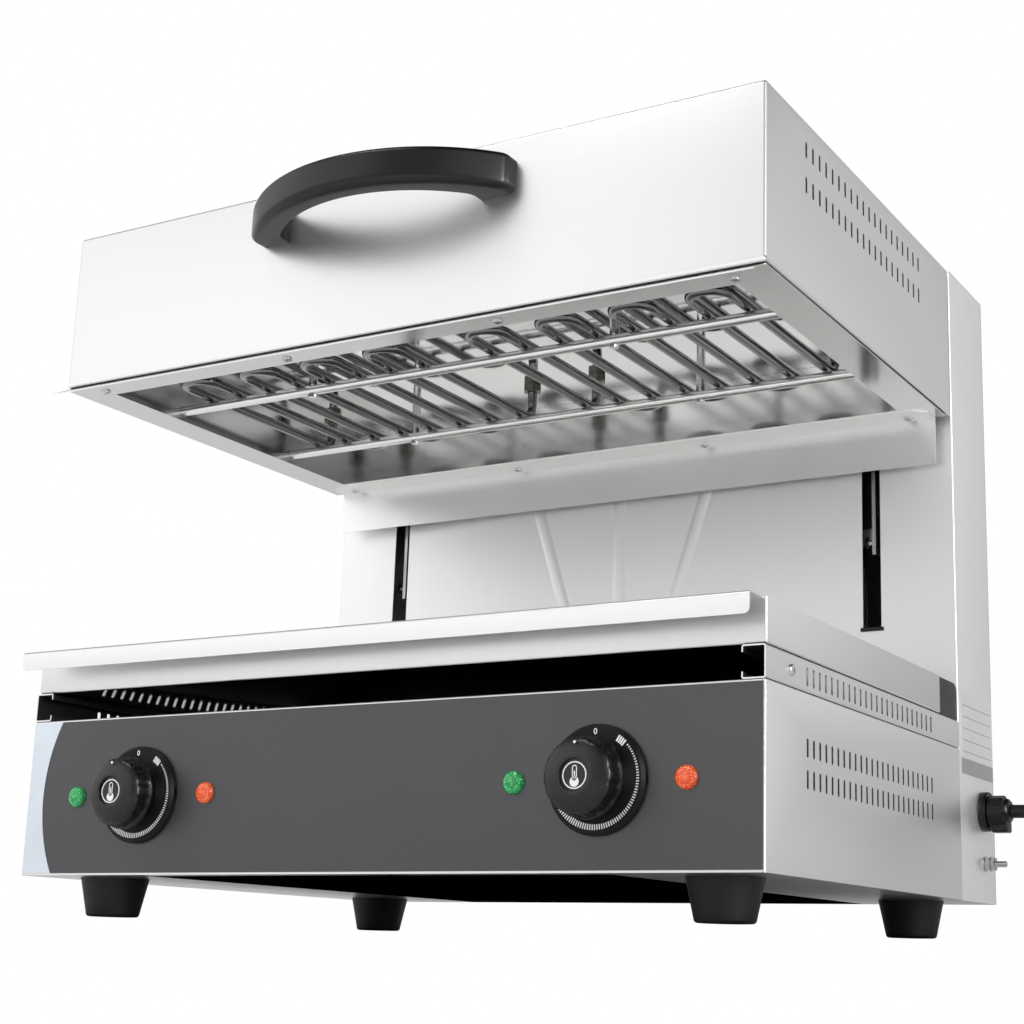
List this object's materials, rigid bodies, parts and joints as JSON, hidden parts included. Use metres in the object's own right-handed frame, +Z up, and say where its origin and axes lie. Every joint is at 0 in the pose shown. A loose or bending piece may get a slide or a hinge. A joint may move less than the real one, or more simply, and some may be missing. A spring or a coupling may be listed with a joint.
{
  "type": "lift salamander grill",
  "caption": "Worktop salamander grill: heating hood with a bow handle that slides up and down a counterbalanced column over a grill pan, with rotary controls in the base.",
  "frame": {"origin": "on the worktop under the feet, on the mid-plane between the sides, half way between the casing's front and the column's back", "axes": "+X to the right as seen by the user in front, +Y from the front to the column's back, +Z up; the controls are on the -Y side"},
  "size_m": [0.8914, 0.514, 0.5315],
  "materials": {
    "stainless_sheet": "satin, brushed along its length",
    "liner_sheet": "smooth mill finish",
    "mirror_sheet": "bright, mirror-like",
    "dark_film": "smooth printed film",
    "pale_film": "smooth printed film",
    "black_rubber": "matt",
    "black_moulding": "satin moulded",
    "scale_ring": null,
    "zinc_steel": "bright zinc plated",
    "ground_steel": "ground and hard chromed",
    "element_sheath": "dull dark nickel alloy",
    "ceramic": "glazed ceramic",
    "mineral_wool": "pressed mineral wool",
    "nylon": "natural nylon",
    "bearing_plastic": "low friction moulding",
    "iron": "as cast",
    "galvanised": "galvanised",
    "green_lens": "clear tinted lens",
    "amber_lens": "clear tinted lens",
    "control_case": "moulded",
    "grey_moulding": "moulded",
    "cord_rubber": "matt",
    "wire_rope": "twisted wire",
    "rack_wire": "bright plated wire"
  },
  "bodies": {
    "stand": {"base_shell": "stainless_sheet", "base_plate": "galvanised", "fascia_dark": "dark_film", "fascia_light": "pale_film", "feet": "black_rubber", "foot_screws": "zinc_steel", "channel_left": "stainless_sheet", "channel_right": "stainless_sheet", "panel_screws": "zinc_steel", "rear_buffers": "black_rubber", "column_wrap": "stainless_sheet", "column_back": "galvanised", "column_cap": "stainless_sheet", "slot_bumpers": "black_rubber", "guide_rods": "ground_steel", "rod_brackets": "galvanised", "pulley_brackets": "galvanised", "pulley_axles": "ground_steel", "rope_bends": "wire_rope", "ropes_front": "wire_rope", "ropes_back": "wire_rope", "dial_rings": "scale_ring", "regulators": "control_case", "pilot_lenses_green": "green_lens", "pilot_lenses_amber": "amber_lens", "pilot_barrels": "control_case", "cable_gland": "grey_moulding", "earth_terminal": "zinc_steel", "terminal_block": "control_case", "power_cord": "cord_rubber", "cord_coil": "cord_rubber", "plug": "black_rubber"},
    "hood": {"hood_shell": "stainless_sheet", "hood_back": "galvanised", "hood_liner": "liner_sheet", "apron": "liner_sheet", "hood_screws": "zinc_steel", "reflector": "mirror_sheet", "insulation": "mineral_wool", "element_left": "element_sheath", "element_right": "element_sheath", "element_terminals": "ceramic", "support_bars": "zinc_steel", "bar_bolts": "zinc_steel", "handle": "black_moulding", "hood_bolts": "zinc_steel", "carriage_left": "galvanised", "carriage_right": "galvanised", "slide_blocks": "bearing_plastic", "carriage_beam": "galvanised"},
    "counterweight": {"counterweight": "iron"},
    "pulley_left": {"pulley_left": "nylon"},
    "pulley_right": {"pulley_right": "nylon"},
    "knob_left": {"knob_left": "black_moulding", "spindle_left": "zinc_steel"},
    "knob_right": {"knob_right": "black_moulding", "spindle_right": "zinc_steel"},
    "pan": {"grill_pan": "stainless_sheet"},
    "rack": {"wire_rack": "rack_wire"}
  },
  "joints": [
    {"name": "hood_lift", "type": "slide", "parent": "stand", "child": "hood", "axis": [0, 0, 1], "range_m": [-0.17, 0], "deforming": ["ropes_front"]},
    {"name": "counterweight_lift", "type": "slide", "parent": "stand", "child": "counterweight", "axis": [0, 0, 1], "range_m": [0, 0.17], "deforming": ["ropes_back"]},
    {"name": "pulley_left_spin", "type": "hinge", "parent": "stand", "child": "pulley_left", "pos_m": [-0.15, 0.1775, 0.483], "axis": [1, 0, 0], "range_deg": [0, 500]},
    {"name": "pulley_right_spin", "type": "hinge", "parent": "stand", "child": "pulley_right", "pos_m": [0.15, 0.1775, 0.483], "axis": [1, 0, 0], "range_deg": [0, 500]},
    {"name": "knob_left_turn", "type": "hinge", "parent": "stand", "child": "knob_left", "pos_m": [-0.188, -0.2305, 0.0845], "axis": [0, 1, 0], "range_deg": [0, 280]},
    {"name": "knob_right_turn", "type": "hinge", "parent": "stand", "child": "knob_right", "pos_m": [0.188, -0.2305, 0.0845], "axis": [0, 1, 0], "range_deg": [0, 280]},
    {"name": "pan_slide", "type": "slide", "parent": "stand", "child": "pan", "axis": [0, -1, 0], "range_m": [0, 0.3]},
    {"name": "rack_lift", "type": "slide", "parent": "pan", "child": "rack", "axis": [0, 0, 1], "range_m": [0, 0.12]}
  ],
  "couplings": [
    {"joint": "counterweight_lift", "follows": "hood_lift", "ratio": -1},
    {"joint": "pulley_left_spin", "follows": "hood_lift", "rad_per_m": -50.505},
    {"joint": "pulley_right_spin", "follows": "hood_lift", "rad_per_m": -50.505}
  ]
}
